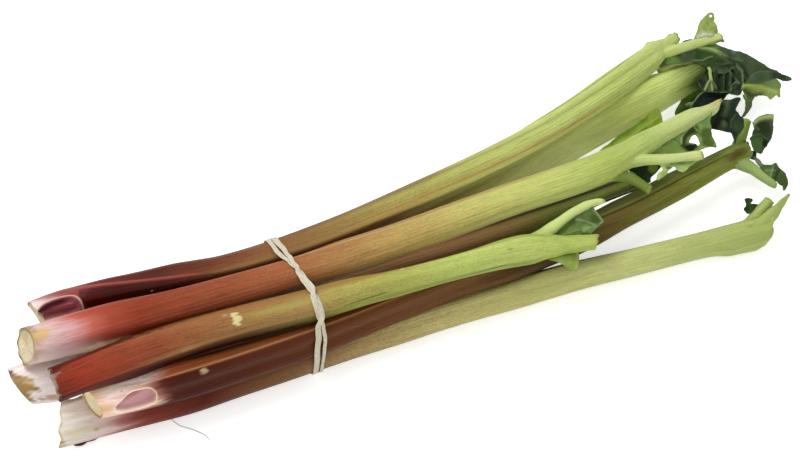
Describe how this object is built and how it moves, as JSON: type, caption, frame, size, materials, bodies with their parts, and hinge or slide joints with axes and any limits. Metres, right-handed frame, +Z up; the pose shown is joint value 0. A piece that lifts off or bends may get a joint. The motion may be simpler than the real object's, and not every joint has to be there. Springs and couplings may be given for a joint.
{
  "type": "bunch of rhubarb stalks",
  "caption": "Bunch of cut rhubarb stalks held by a twisted rubber band: pale flared bases, red to green ribbed stems, forked leaf ends with scraps of leaf. Lies on a table.",
  "frame": {"origin": "middle of the bunch's footprint, on the table top it lies on", "axes": "+X along the bunch from the cut bases to the leaf ends, +Y across it, +Z up from the table"},
  "size_m": [0.5048, 0.1702, 0.0657],
  "materials": {
    "brown_stalk_skin": "satin",
    "red_stalk_skin": "satin",
    "green_stalk_skin": "satin",
    "pale_leaf_blade": "satin",
    "dark_leaf_blade": "satin",
    "band_rubber": "matte",
    "dry_bud_scale": "matte"
  },
  "bodies": {
    "root": {"stalk_top_grooved": "brown_stalk_skin", "stalk_front_grooved": "brown_stalk_skin", "stalk_top_broad": "red_stalk_skin", "stalk_front_short": "red_stalk_skin", "stalk_front_floor": "green_stalk_skin", "stalk_core": "green_stalk_skin", "stalk_back_middle": "green_stalk_skin", "stalk_back_floor": "green_stalk_skin", "rubber_band": "band_rubber", "leaf_upright_flap": "pale_leaf_blade", "leaf_pale_fold": "pale_leaf_blade", "leaf_broad_window": "pale_leaf_blade", "leaf_under_vein": "pale_leaf_blade", "leaf_bright_flat": "pale_leaf_blade", "leaf_short_window": "pale_leaf_blade", "leaf_short_low": "pale_leaf_blade", "leaf_long_dark": "dark_leaf_blade", "leaf_spur": "dark_leaf_blade", "leaf_hanging_bit": "dark_leaf_blade", "leaf_crumpled": "dark_leaf_blade", "leaf_low_flap": "dark_leaf_blade", "leaf_dark_strip": "dark_leaf_blade", "leaf_broad_tip": "dark_leaf_blade", "leaf_under_fork": "dark_leaf_blade", "leaf_grooved_top": "dark_leaf_blade", "leaf_grooved_small": "dark_leaf_blade", "leaf_grooved_low": "dark_leaf_blade", "leaf_floor_small": "dark_leaf_blade", "dry_scale": "dry_bud_scale"}
  },
  "joints": []
}
